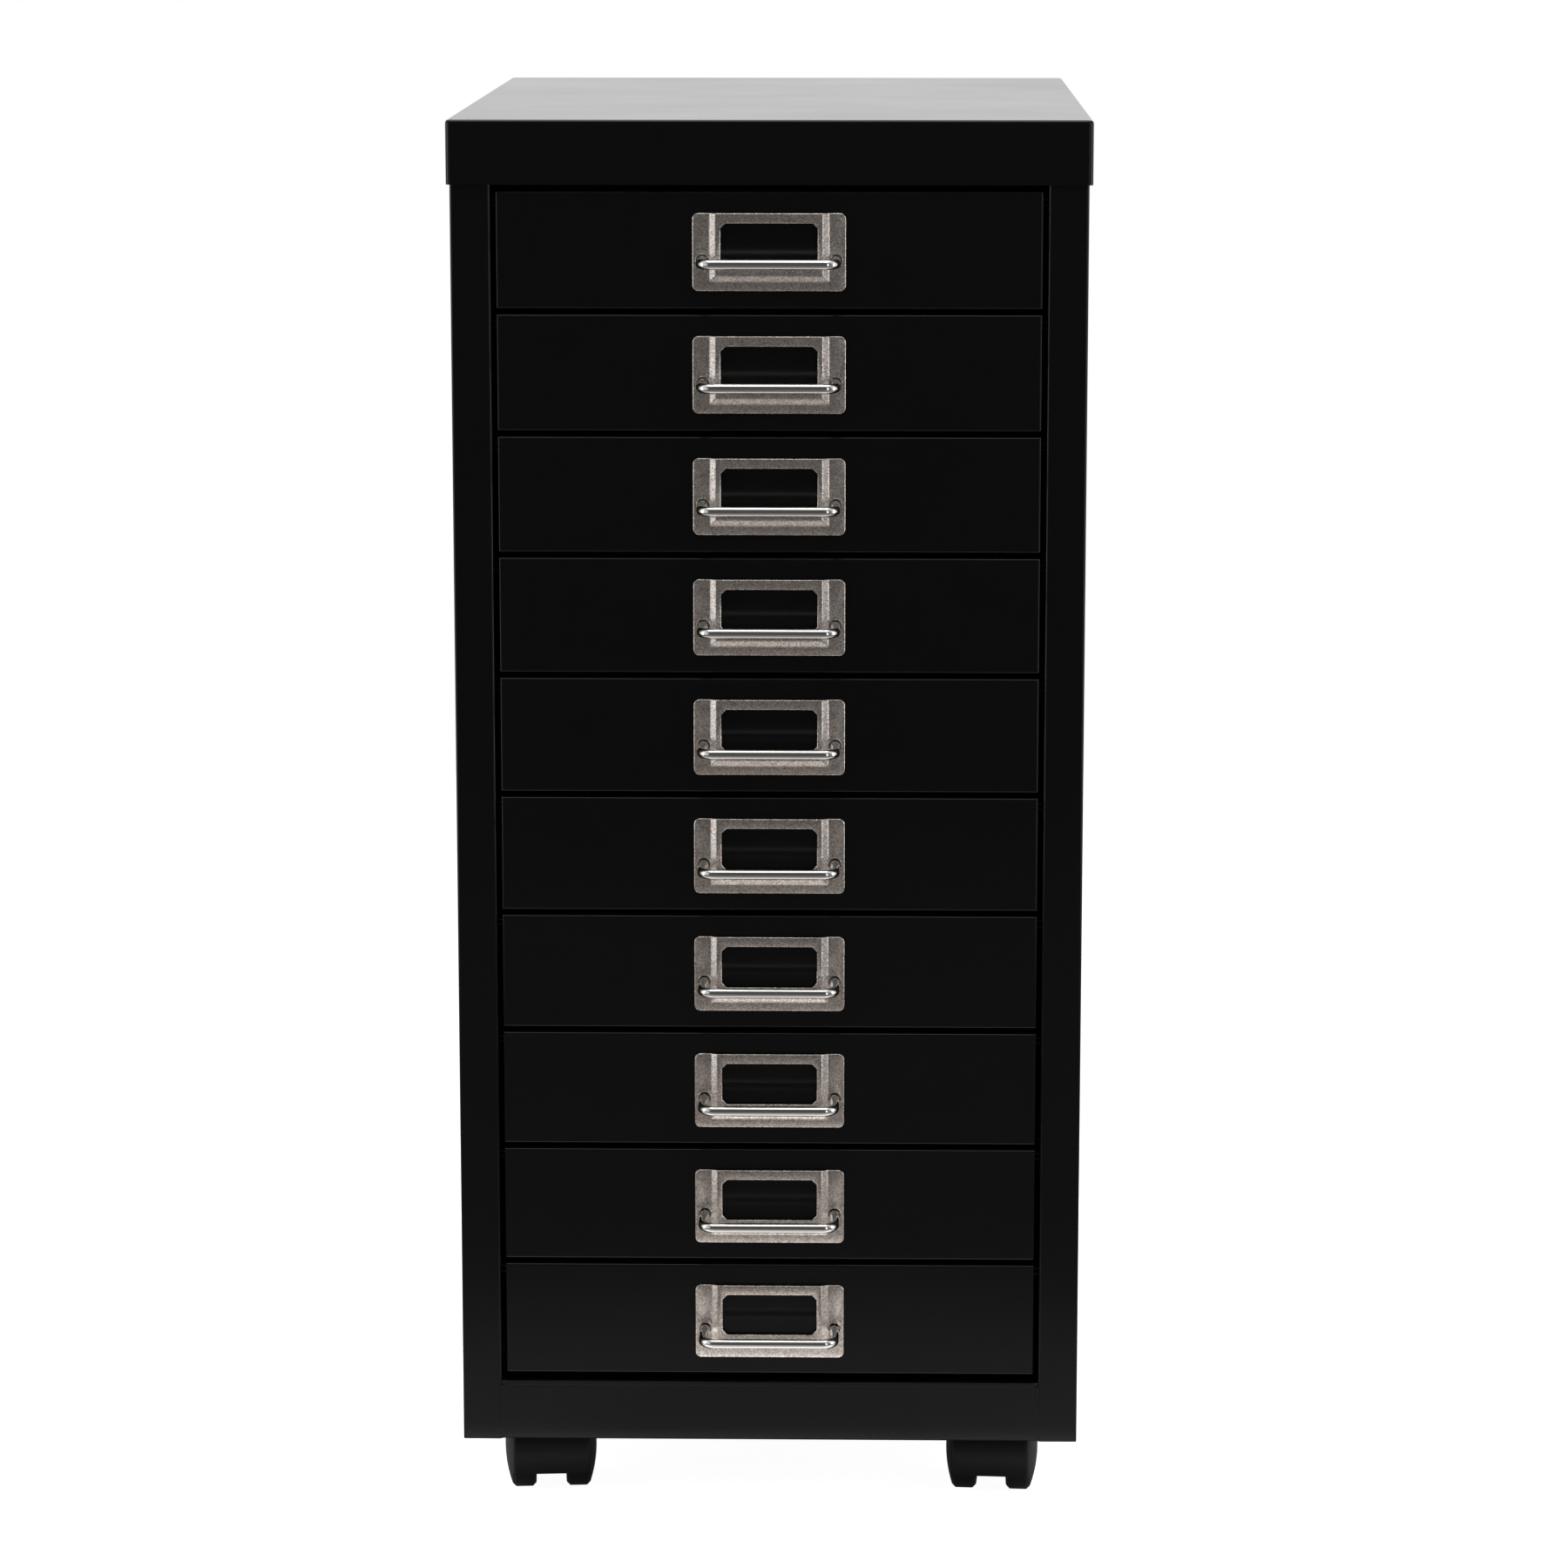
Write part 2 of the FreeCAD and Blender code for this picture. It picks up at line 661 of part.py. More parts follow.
def make_bail(number):
    """The wire handle, whose legs run through the front into one push-on washer each."""
    label = "drawer_%02d_bail" % number
    wire = new_body(label + "_wire")
    path = new_sketch(wire, "XY_Plane", "bail_level")
    add_outline(path, [
        ("-bail_spacing / 2", "bail_leg_end"),
        ("-bail_spacing / 2", "-bail_reach", "bail_bend_radius"),
        ("bail_spacing / 2", "-bail_reach", "bail_bend_radius"),
        ("bail_spacing / 2", "bail_leg_end"),
    ], closed=False)
    profile = new_sketch(wire, "XZ_Plane", "-bail_leg_end")
    add_circle(profile, "-bail_spacing / 2", "bail_level", "bail_wire / 2")
    pipe = wire.newObject("PartDesign::AdditivePipe", label + "_pipe")
    pipe.Profile = profile
    pipe.Spine = (path, ["Edge1", "Edge2", "Edge3", "Edge4", "Edge5"])
    doc.recompute()
    pieces = [wire]
    for side in ("-bail_spacing / 2", "bail_spacing / 2"):
        disc = cylinder(label + "_disc", "bail_wire / 2 + washer_rim", "washer_sheet")
        bore = cylinder(label + "_bore", "bail_wire / 2", "washer_sheet")
        washer = cut(label + "_washer", disc, bore)
        washer.Placement = FreeCAD.Placement(VECTOR(), FreeCAD.Rotation(VECTOR(1, 0, 0), -90))
        pieces.append(place(washer, side, "sheet", "bail_level"))
    return at_drawer(group(label, pieces), number)


CORNERS = (
    ("front_left", "-caster_across", "caster_front_y"),
    ("front_right", "caster_across", "caster_front_y"),
    ("rear_left", "-caster_across", "caster_rear_y"),
    ("rear_right", "caster_across", "caster_rear_y"),
)


def screw_places():
    """Every caster screw's place, four round each kingpin."""
    step = " + %s * screw_spacing / 2"
    return [(across + step % side, back + step % end)
            for name, across, back in CORNERS for side in ("-1", "1") for end in ("-1", "1")]


def make_caster_plates():
    plates = []
    for name, across, back in CORNERS:
        plate = place(new_body("caster_plate_" + name), across, back, "plate_underside")
        outline = new_sketch(plate, "XY_Plane")
        add_outline(outline, box_outline("-plate_side / 2", "plate_side / 2", "-plate_side / 2",
                                         "plate_side / 2", "plate_corner_radius"))
        pad(plate, outline, "plate_sheet")
        holes = new_sketch(plate, "XY_Plane", "plate_sheet + overrun")
        add_circle(holes, "0", "0", "kingpin_size / 2")
        for side in ("-screw_spacing / 2", "screw_spacing / 2"):
            for end in ("-screw_spacing / 2", "screw_spacing / 2"):
                add_circle(holes, side, end, "screw_size / 2 + screw_hole_clearance")
        pocket(plate, holes, "plate_sheet + 2 * overrun")
        plates.append(plate)
    return group("caster_plates", plates)


def make_caster_kingpins():
    pins = []
    for name, across, back in CORNERS:
        foot = "pin_bore_floor + kingpin_end_gap"
        shaft = cylinder("kingpin_" + name, "kingpin_size / 2", "caster_height - (%s)" % foot)
        pins.append(place(shaft, across, back, foot))
    return group("caster_kingpins", pins)


def make_caster_screws():
    screws = []
    for across, back in screw_places():
        head = cylinder("screw_head", "screw_head_width / 2", "screw_head_height")
        place(head, "0", "0", "-screw_head_height")
        shank = cylinder("screw_shank", "screw_size / 2", "plate_sheet + sheet + nut_height + screw_tip")
        screw = doc.addObject("Part::Fuse", "screw")
        screw.Base = head
        screw.Tool = shank
        screws.append(place(screw, across, back, "plate_underside"))
    return group("caster_screws", screws)


def make_caster_nuts():
    nuts = []
    for across, back in screw_places():
        hexagon = doc.addObject("Part::Prism", "nut_hexagon")
        hexagon.Polygon = 6
        bind(hexagon, "Circumradius", "nut_width / sqrt(3)")
        bind(hexagon, "Height", "nut_height")
        nut = cut("nut", hexagon, cylinder("nut_thread", "screw_size / 2", "nut_height"))
        nuts.append(place(nut, across, back, "caster_height + sheet"))
    return group("caster_nuts", nuts)


def at_kingpin(thing, name, across, back):
    """Places a caster piece whose own zero is on the floor under its kingpin, and turns it."""
    turn = FreeCAD.Rotation(Z_UP, size(name + "_turn"))
    thing.Placement = FreeCAD.Placement(VECTOR(), turn)
    return place(thing, across, back)


def make_hood(name, across, back):
    """The yoke: a web between the wheels, the hood over them and the neck round the kingpin."""
    body = at_kingpin(new_body("caster_" + name + "_hood"), name, across, back)
    disc = new_sketch(body, "YZ_Plane")
    add_circle(disc, "-caster_trail", "wheel_radius", "hood_radius")
    block = pad(body, disc, "hood_width", symmetric=True)
    side = size("hood_width / 2")
    round_edges(body, block, "hood_edge_radius", lambda middle, edge: near(abs(middle.x), side))
    neck = new_sketch(body, "XY_Plane", "wheel_radius + hood_rear_rise")
    add_circle(neck, "0", "0", "neck_size / 2")
    pad(body, neck, "plate_underside - slide_clearance - wheel_radius - hood_rear_rise")
    below = new_sketch(body, "YZ_Plane")
    front = "-caster_trail - hood_radius - overrun"
    rear = "hood_radius + neck_size"
    add_outline(below, [
        (front, "wheel_radius - hood_radius - overrun"),
        (rear, "wheel_radius - hood_radius - overrun"),
        (rear, "wheel_radius + hood_rear_rise"),
        ("-caster_trail + hood_inner_radius / 2", "wheel_radius + hood_rear_rise"),
        ("-caster_trail + hood_inner_radius / 2", "wheel_radius - hood_front_drop"),
        (front, "wheel_radius - hood_front_drop"),
    ])
    pocket(body, below, "hood_width + neck_size", symmetric=True)
    for flipped in (False, True):
        well = new_sketch(body, "YZ_Plane", "-yoke_web / 2" if flipped else "yoke_web / 2")
        add_circle(well, "-caster_trail", "wheel_radius", "hood_inner_radius")
        pocket(body, well, "hood_width", backward=not flipped)
    pin_bore = new_sketch(body, "XY_Plane", "caster_height")
    add_circle(pin_bore, "0", "0", "kingpin_size / 2 + running_clearance")
    pocket(body, pin_bore, "caster_height - pin_bore_floor")
    axle_bore = new_sketch(body, "YZ_Plane")
    add_circle(axle_bore, "-caster_trail", "wheel_radius", "axle_size / 2")
    pocket(body, axle_bore, "yoke_web + 2 * overrun", symmetric=True)
    return body


def make_axle(name, across, back):
    body = at_kingpin(new_body("caster_" + name + "_axle"), name, across, back)
    section = new_sketch(body, "YZ_Plane")
    add_circle(section, "-caster_trail", "wheel_radius", "axle_size / 2")
    pad(body, section, "2 * (bore_end - axle_end_gap)", symmetric=True)
    return body


def make_wheel(name, across, back, right):
    label = "caster_" + name + ("_wheel_right" if right else "_wheel_left")
    body = at_kingpin(new_body(label), name, across, back)
    section = new_sketch(body, "XY_Plane", "wheel_radius", "0", "-caster_trail", flipped=not right)
    add_outline(section, [
        ("hub_face", "axle_bore"),
        ("bore_end", "axle_bore"),
        ("bore_end", "0"),
        ("wheel_side", "0", None, "dome_radius"),
        ("dome_start", "dome_rim"),
        ("dome_start - wheel_rim_step", "wheel_radius"),
        ("rim_face + wheel_inner_bevel", "wheel_radius"),
        ("rim_face", "wheel_radius - wheel_inner_bevel"),
        ("rim_face", "wheel_radius - wheel_rim_wall"),
        ("rim_face + wheel_recess", "wheel_radius - wheel_rim_wall"),
        ("rim_face + wheel_recess", "wheel_hub_radius"),
        ("hub_face", "wheel_hub_radius"),
    ])
    turned = body.newObject("PartDesign::Revolution", label + "_turned")
    turned.Profile = section
    turned.ReferenceAxis = (section, ["H_Axis"])
    turned.Angle = 360
    doc.recompute()
    return body


def make_cabinet():
    parts = [make_side_panel("side_panel_left", False), make_side_panel("side_panel_right", True)]
    parts += [make_back_panel(), make_top_cap(), make_top_rail(), make_front_plinth(), make_base_pan()]
    parts += [make_runner_panel("runner_panel_left", False)]
    parts += [make_runner_panel("runner_panel_right", True)]
    parts += [make_caster_plates(), make_caster_kingpins(), make_caster_screws(), make_caster_nuts()]
    for number in range(1, int(size("drawer_count")) + 1):
        parts += [make_tray(number), make_label_frame(number), make_bail(number)]
    for name, across, back in CORNERS:
        parts += [make_hood(name, across, back), make_axle(name, across, back)]
        parts += [make_wheel(name, across, back, right) for right in (False, True)]
    return parts


def write(parts):
    """Checks every object and every sub-part's shape, and then writes the sub-parts."""
    doc.recompute()
    for thing in doc.Objects:
        if "Invalid" in thing.State or "Error" in thing.State:
            raise RuntimeError(thing.Label + " failed")
    for part in parts:
        if part.Shape.isNull() or not part.Shape.isValid():
            raise RuntimeError(part.Label + " has no sound shape")
        pieces = len(part.Links) if part.TypeId == "Part::Compound" else 1
        if len(part.Shape.Solids) != pieces:
            raise RuntimeError(part.Label + " has come apart")
    os.makedirs("parts", exist_ok=True)
    for part in parts:
        part.Shape.exportStep("parts/" + part.Label + ".step")


cabinet_parts = make_cabinet()
write(cabinet_parts)
print(len(cabinet_parts), "sub-parts written")
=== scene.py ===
"""Dresses the ten-drawer steel cabinet: paint, plated card holders, chrome handles, nylon casters, studio."""
import json
import math

import bpy
from bpy.props import FloatProperty, FloatVectorProperty, IntProperty, PointerProperty
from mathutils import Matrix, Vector
from mathutils.geometry import delaunay_2d_cdt


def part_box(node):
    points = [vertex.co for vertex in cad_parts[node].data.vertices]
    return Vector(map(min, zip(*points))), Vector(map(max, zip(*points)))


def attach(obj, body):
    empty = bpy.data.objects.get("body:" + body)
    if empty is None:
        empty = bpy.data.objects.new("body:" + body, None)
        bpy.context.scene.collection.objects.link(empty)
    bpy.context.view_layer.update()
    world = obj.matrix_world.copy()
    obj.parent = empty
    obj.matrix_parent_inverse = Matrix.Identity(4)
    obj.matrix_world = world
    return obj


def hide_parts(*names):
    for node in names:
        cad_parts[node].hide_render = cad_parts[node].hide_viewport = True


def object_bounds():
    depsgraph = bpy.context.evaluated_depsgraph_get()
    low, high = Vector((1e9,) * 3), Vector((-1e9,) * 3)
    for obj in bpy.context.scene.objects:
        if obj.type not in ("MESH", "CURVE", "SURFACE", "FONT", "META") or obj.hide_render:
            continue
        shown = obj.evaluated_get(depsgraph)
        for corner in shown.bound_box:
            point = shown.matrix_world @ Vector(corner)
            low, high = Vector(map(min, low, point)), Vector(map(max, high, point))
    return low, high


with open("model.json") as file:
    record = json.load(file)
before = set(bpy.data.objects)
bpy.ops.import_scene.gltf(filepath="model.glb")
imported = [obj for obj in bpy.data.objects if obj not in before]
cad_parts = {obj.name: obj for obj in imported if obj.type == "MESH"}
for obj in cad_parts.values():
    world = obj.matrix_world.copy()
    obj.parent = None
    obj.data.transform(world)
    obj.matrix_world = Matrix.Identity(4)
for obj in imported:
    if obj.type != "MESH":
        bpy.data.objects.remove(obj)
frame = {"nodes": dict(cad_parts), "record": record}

bl_info = {
    "name": "Drawer Cabinet Finishes",
    "version": (1, 0, 0),
    "blender": (4, 5, 0),
    "location": "View3D > Sidebar > Cabinet",
    "description": "Paints and plates the drawer cabinet and sets up its studio",
    "category": "Object",
}

MM = 0.001
CAD_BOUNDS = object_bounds()
NODES = frame["nodes"]
SLOTS = {part["node"]: part["material_slot"] for part in frame["record"]["subparts"]}
BODY_OF = {node: body for body, nodes in frame["record"]["behaviour"]["bodies"].items() for node in nodes}

# Widths and depths of the fine unevenness in each finish
SMUDGE_WIDTH = 90 * MM
PAINT_MOTTLE_WIDTH = 20 * MM
DUST_WIDTH = 0.6 * MM
DUST_DEPTH = 0.0006 * MM
PLATING_CLOUD_WIDTH = 6 * MM
CHROME_MOTTLE_WIDTH = 4 * MM
CHROME_CLOUD_WIDTH = 3 * MM
CHROME_RIPPLE_WIDTH = 1.5 * MM
CHROME_RIPPLE_DEPTH = 0.002 * MM
NYLON_MOTTLE_WIDTH = 10 * MM
NYLON_GRAIN_DEPTH = 0.02 * MM
ZINC_SPANGLE_WIDTH = 2 * MM
ZINC_CLOUD_WIDTH = 4 * MM
ZINC_RIPPLE_WIDTH = 1.2 * MM
ZINC_RIPPLE_DEPTH = 0.008 * MM

# Noise mostly stays between these two values
NOISE_LOW = 0.3
NOISE_HIGH = 0.7

# The sockets of a colour mix node, whose names repeat for each kind of data
MIX_INPUTS = (0, 6, 7)
MIX_RESULT = 2

# How finely the card holders are drawn
HOLE_SIDES = 24
CORNER_SIDES = 6
EDGE_RING_SHARES = (0.12, 0.45, 1.0)
STEP_ROWS = 8
ROWS_PAST_STEP = 2
STEP_SOFTNESS = 0.12
SAME_POINT = 1e-7
CREASE_ANGLE = math.radians(55)

# The floor's white to the camera, the camera's film and depth of view, and where the lamps look
CAMERA_WHITE = 0.96
FILM_WIDTH_MM = 36
VIEW_DEPTH = 50
FRONT_MIDDLE = (0, -0.2, 0.35)
LOW_LAMP_Y = CAD_BOUNDS[0].y - 30 * MM

# Each lamp's name, place, target, width and height in metres, and the setting that gives its power
LAMPS = (
    ("lamp_overhead", (0, -0.35, 2.1), (0, -0.1, 0), 1.5, 1.2, "overhead_power"),
    ("lamp_behind", (0, 1.5, 2.05), (0, 0, 0.6), 2.4, 1.3, "rear_power"),
    ("lamp_left", (-1.7, -1.5, 0.6), FRONT_MIDDLE, 1.1, 1.9, "left_power"),
    ("lamp_right", (1.2, -1.9, 0.6), FRONT_MIDDLE, 0.35, 1.9, "right_power"),
    ("lamp_side_left", (-1.3, -0.42, 0.35), FRONT_MIDDLE, 0.3, 1.3, "side_power"),
    ("lamp_side_right", (1.3, -0.42, 0.35), FRONT_MIDDLE, 0.3, 1.3, "side_power"),
    ("lamp_low", (0, LOW_LAMP_Y, 0.004), (0, LOW_LAMP_Y, 1), 0.34, 0.07, "low_power"),
)


def nodes_in_slot(slot_name):
    """The names of the frame's nodes that take their finish from one of the record's slots."""
    return [node for node in NODES if SLOTS[node] == slot_name]


class CabinetPaint(bpy.types.PropertyGroup):
    colour: FloatVectorProperty(name="Colour", description="Colour of the stoved paint", subtype="COLOR",
                                size=3, min=0, max=1, default=(0.0058, 0.0055, 0.0056))
    roughness: FloatProperty(name="Roughness", description="How dull the paint is", min=0, max=1,
                             subtype="FACTOR", default=0.13)
    index: FloatProperty(name="Refractive index", description="Sets how much the paint mirrors",
                         min=1, max=2, default=1.28)
    peel_size: FloatProperty(name="Peel size", description="Width of the orange peel's bumps",
                             subtype="DISTANCE", unit="LENGTH", default=2.6 * MM)
    peel_depth: FloatProperty(name="Peel depth", description="Height of the orange peel's bumps",
                              subtype="DISTANCE", unit="LENGTH", default=0.005 * MM)


class CardHolderPlating(bpy.types.PropertyGroup):
    colour: FloatVectorProperty(name="Colour", description="Colour of the plated steel", subtype="COLOR",
                                size=3, min=0, max=1, default=(0.86, 0.76, 0.70))
    roughness: FloatProperty(name="Roughness", description="How dull the plating is", min=0, max=1,
                             subtype="FACTOR", default=0.27)
    speckle_size: FloatProperty(name="Speckle size", description="Width of the grains in the plating",
                                subtype="DISTANCE", unit="LENGTH", default=0.5 * MM)
    speckle_depth: FloatProperty(name="Speckle depth", description="Height of the grains in the plating",
                                 subtype="DISTANCE", unit="LENGTH", default=0.05 * MM)
    sheet: FloatProperty(name="Sheet", description="Thickness of the pressed sheet",
                         subtype="DISTANCE", unit="LENGTH", default=0.8 * MM)
    corner: FloatProperty(name="Corner radius", description="Radius of the plate's four corners",
                          subtype="DISTANCE", unit="LENGTH", default=2.5 * MM)
    pocket_half: FloatProperty(name="Pocket half width", description="From the middle to the step's foot",
                               subtype="DISTANCE", unit="LENGTH", default=26.2 * MM)
    pocket_drop: FloatProperty(name="Pocket drop", description="From the plate's top to the step's foot",
                               subtype="DISTANCE", unit="LENGTH", default=30.0 * MM)
    step_run: FloatProperty(name="Step run", description="Width of the pressed step's slope",
                            subtype="DISTANCE", unit="LENGTH", default=2.8 * MM)
    window_half: FloatProperty(name="Window half width", description="Half the window's width",
                               subtype="DISTANCE", unit="LENGTH", default=21.3 * MM)
    window_drop: FloatProperty(name="Window drop", description="From the plate's top to the window",
                               subtype="DISTANCE", unit="LENGTH", default=4.35 * MM)
    window_height: FloatProperty(name="Window height", description="Height of the window",
                                 subtype="DISTANCE", unit="LENGTH", default=18.65 * MM)
    window_chamfer: FloatProperty(name="Window chamfer", description="The window's cut corners",
                                  subtype="DISTANCE", unit="LENGTH", default=2.2 * MM)
    leg_hole: FloatProperty(name="Leg hole", description="Radius of the holes for the handle's legs",
                            subtype="DISTANCE", unit="LENGTH", default=2.75 * MM)
    leg_half: FloatProperty(name="Leg half spacing", description="From the middle to a handle leg",
                            subtype="DISTANCE", unit="LENGTH", default=29.2 * MM)
    leg_drop: FloatProperty(name="Leg drop", description="From the plate's top to the handle's legs",
                            subtype="DISTANCE", unit="LENGTH", default=20.5 * MM)
    edge_round: FloatProperty(name="Edge round", description="Rounding of the pressed sheet's edges",
                              subtype="DISTANCE", unit="LENGTH", default=0.3 * MM)


class HandleChrome(bpy.types.PropertyGroup):
    colour: FloatVectorProperty(name="Colour", description="Colour of the chrome", subtype="COLOR",
                                size=3, min=0, max=1, default=(0.72, 0.71, 0.69))
    roughness: FloatProperty(name="Roughness", description="How dull the chrome is", min=0, max=1,
                             subtype="FACTOR", default=0.09)


class CasterNylon(bpy.types.PropertyGroup):
    hood_colour: FloatVectorProperty(name="Hood colour", description="Colour of the caster hoods",
                                     subtype="COLOR", size=3, min=0, max=1, default=(0.0034, 0.0034, 0.0034))
    wheel_colour: FloatVectorProperty(name="Wheel colour", description="Colour of the wheels",
                                      subtype="COLOR", size=3, min=0, max=1, default=(0.0034, 0.0034, 0.0034))
    roughness: FloatProperty(name="Roughness", description="How dull the nylon is", min=0, max=1,
                             subtype="FACTOR", default=0.48)
    index: FloatProperty(name="Refractive index", description="Sets how much the nylon mirrors",
                         min=1, max=2, default=1.26)
    grain_size: FloatProperty(name="Grain size", description="Width of the moulded grain",
                              subtype="DISTANCE", unit="LENGTH", default=0.7 * MM)


class FastenerZinc(bpy.types.PropertyGroup):
    colour: FloatVectorProperty(name="Colour", description="Colour of the zinc plating", subtype="COLOR",
                                size=3, min=0, max=1, default=(0.42, 0.43, 0.45))
    roughness: FloatProperty(name="Roughness", description="How dull the zinc is", min=0, max=1,
                             subtype="FACTOR", default=0.36)


class StudioSettings(bpy.types.PropertyGroup):
    camera_place: FloatVectorProperty(name="Camera place", description="Where the camera stands",
                                      subtype="TRANSLATION", unit="LENGTH", size=3,
                                      default=(0.0496, -2.4335, 0.7459))
    camera_tilt: FloatProperty(name="Camera tilt", description="The camera's angle from straight down",
                               subtype="ANGLE", default=math.radians(79.61))
    camera_turn: FloatProperty(name="Camera turn", description="The camera's angle about the upright",
                               subtype="ANGLE", default=math.radians(1.10))
    lens: FloatProperty(name="Lens", description="Focal length in millimetres on a 36 mm frame",
                        min=20, default=117.88)
    floor_radius: FloatProperty(name="Floor radius", description="Radius of the round studio floor",
                                subtype="DISTANCE", unit="LENGTH", default=1.7)
    # Painted pool of light on the floor: its colour is pale round the cabinet and painted shade further off
    floor_painted_light: FloatVectorProperty(name="Floor near", description="Colour of the floor round the cabinet",
                                    subtype="COLOR", size=3, min=0, max=1, default=(0.52, 0.505, 0.49))
    floor_painted_shade: FloatVectorProperty(name="Floor far", description="Colour of the floor away from the cabinet",
                                   subtype="COLOR", size=3, min=0, max=1, default=(0.15, 0.14, 0.135))
    floor_near_radius: FloatProperty(name="Near radius", description="Where the floor starts to darken",
                                     subtype="DISTANCE", unit="LENGTH", default=0.34)
    floor_far_radius: FloatProperty(name="Far radius", description="Where the floor is darkest",
                                    subtype="DISTANCE", unit="LENGTH", default=0.66)
    overhead_power: FloatProperty(name="Overhead power", description="Power of the lamp overhead, in watts",
                                  min=0, default=16.0)
    rear_power: FloatProperty(name="Rear power", description="Power of the lamp behind, in watts",
                              min=0, default=46.0)
    left_power: FloatProperty(name="Left power", description="Power of the wide lamp at the left, in watts",
                              min=0, default=3.2)
    right_power: FloatProperty(name="Right power", description="Power of the strip at the right, in watts",
                               min=0, default=4.0)
    side_power: FloatProperty(name="Side power", min=0, default=5.0,
                              description="Power of each strip beside the cabinet, in watts")
    low_power: FloatProperty(name="Low power", min=0, default=0.08,
                             description="Power of the strip on the floor in front, in watts")
    room_front: FloatProperty(name="Room in front", description="Brightness of the room in front",
                              min=0, default=0.09)
    dark_cone: FloatProperty(name="Dark cone", description="Where the room in front starts to brighten",
                             min=-1, max=1, default=-0.75)
    bright_side: FloatProperty(name="Bright side", description="Where the room is as bright as behind",
                               min=-1, max=1, default=-0.05)
    room_behind: FloatProperty(name="Room behind", description="Brightness of the room behind",
                               min=0, default=0.86)
    # Painted glow: the near floor shines in reflections only, though it is no lamp
    floor_painted_glow: FloatProperty(name="Floor gloss", description="How white the near floor is in reflections",
                               min=0, default=0.07)
    floor_sides: IntProperty(name="Floor sides", description="Sides of the round studio floor", min=12,
                             default=64)


SETTINGS = {
    "cabinet_paint": CabinetPaint,
    "card_holder_plating": CardHolderPlating,
    "handle_chrome": HandleChrome,
    "caster_nylon": CasterNylon,
    "fastener_zinc": FastenerZinc,
    "cabinet_studio": StudioSettings,
}


class Finish:
    """The shader of a material or the world, under construction: adds and joins its nodes."""

    def __init__(self, owner):
        self.owner = owner
        self.owner.use_nodes = True
        self.tree = owner.node_tree
        self.tree.nodes.clear()
        self.coordinates = self.add("ShaderNodeTexCoord").outputs

    def feed(self, socket, value):
        """Links a socket to the one given, or sets it to a value."""
        if isinstance(value, bpy.types.NodeSocket):
            self.tree.links.new(value, socket)
        else:
            socket.default_value = value

    def add(self, kind, **values):
        """Adds a node, and sets the properties or feeds the sockets that are named."""
        node = self.tree.nodes.new(kind)
        for name, value in values.items():
            if hasattr(node, name):
                setattr(node, name, value)
            else:
                self.feed(node.inputs[name.replace("_", " ")], value)
        return node

    def noise(self, width, detail=2.0):
        """Soft noise whose bumps are about as wide as given, in metres."""
        place = self.coordinates["Object"]
        return self.add("ShaderNodeTexNoise", Vector=place, Scale=1 / width, Detail=detail).outputs["Fac"]

    def grains(self, width):
        """Small flat grains, each of one random grey."""
        cells = self.add("ShaderNodeTexVoronoi", Vector=self.coordinates["Object"], Scale=1 / width)
        return self.add("ShaderNodeSeparateColor", Color=cells.outputs["Color"]).outputs["Red"]

    def between(self, factor, low, high, start=NOISE_LOW, end=NOISE_HIGH, kind="LINEAR"):
        """A number from low to high as the factor goes from start to end."""
        ranged = self.add("ShaderNodeMapRange", interpolation_type=kind, Value=factor,
                          From_Min=start, From_Max=end, To_Min=low, To_Max=high)
        return ranged.outputs["Result"]

    def varied(self, factor, middle, less, more):
        """A number that the factor takes from a little below the middle to a little above it."""
        return self.between(factor, middle - less, middle + more)

    def calculated(self, operation, *values):
        """What one operation makes of numbers or sockets."""
        node = self.add("ShaderNodeMath", operation=operation)
        for socket, value in zip(node.inputs, values):
            self.feed(socket, value)
        return node.outputs["Value"]

    def mixed(self, factor, first, second):
        """A colour that goes from the first to the second as the factor goes from 0 to 1."""
        node = self.add("ShaderNodeMix", data_type="RGBA")
        for place, value in zip(MIX_INPUTS, (factor, first, second)):
            self.feed(node.inputs[place], value)
        return node.outputs[MIX_RESULT]

    def tint(self, colour, factor, darkest, lightest):
        """The colour, darker or lighter by the factor."""
        shades = [[channel * share for channel in colour] + [1] for share in (darkest, lightest)]
        return self.mixed(factor, *shades)

    def bump(self, height, depth, **under):
        """Bumps of some depth, on top of the bumps under them that are given as Normal."""
        node = self.add("ShaderNodeBump", Strength=1.0, Distance=depth, Height=height, **under)
        return node.outputs["Normal"]

    def finished(self, **sockets):
        """Joins everything to the surface shader and hands back the material."""
        return self.ended(self.add("ShaderNodeBsdfPrincipled", **sockets), "ShaderNodeOutputMaterial")

    def ended(self, shader, kind):
        """Joins the last shader to the output and hands back the material or world."""
        self.feed(self.add(kind).inputs["Surface"], shader.outputs[0])
        return self.owner


def new_finish(name):
    return Finish(bpy.data.materials.new(name))


def put_on(material, names):
    """Gives CAD nodes a material."""
    for name in names:
        mesh = NODES[name].data
        if mesh.materials:
            mesh.materials[0] = material
        else:
            mesh.materials.append(material)


def stoved_paint(name, paint):
    """Black gloss paint with orange peel, faint dust and smudges."""
    finish = new_finish(name)
    peel = finish.bump(finish.noise(paint.peel_size, detail=1.0), paint.peel_depth)
    return finish.finished(
        Base_Color=finish.tint(paint.colour, finish.noise(PAINT_MOTTLE_WIDTH, detail=5.0),
                               darkest=0.9, lightest=1.12),
        Roughness=finish.varied(finish.noise(SMUDGE_WIDTH, detail=4.0), paint.roughness,
                                less=0.01, more=0.02),
        IOR=paint.index,
        Normal=finish.bump(finish.noise(DUST_WIDTH), DUST_DEPTH, Normal=peel))


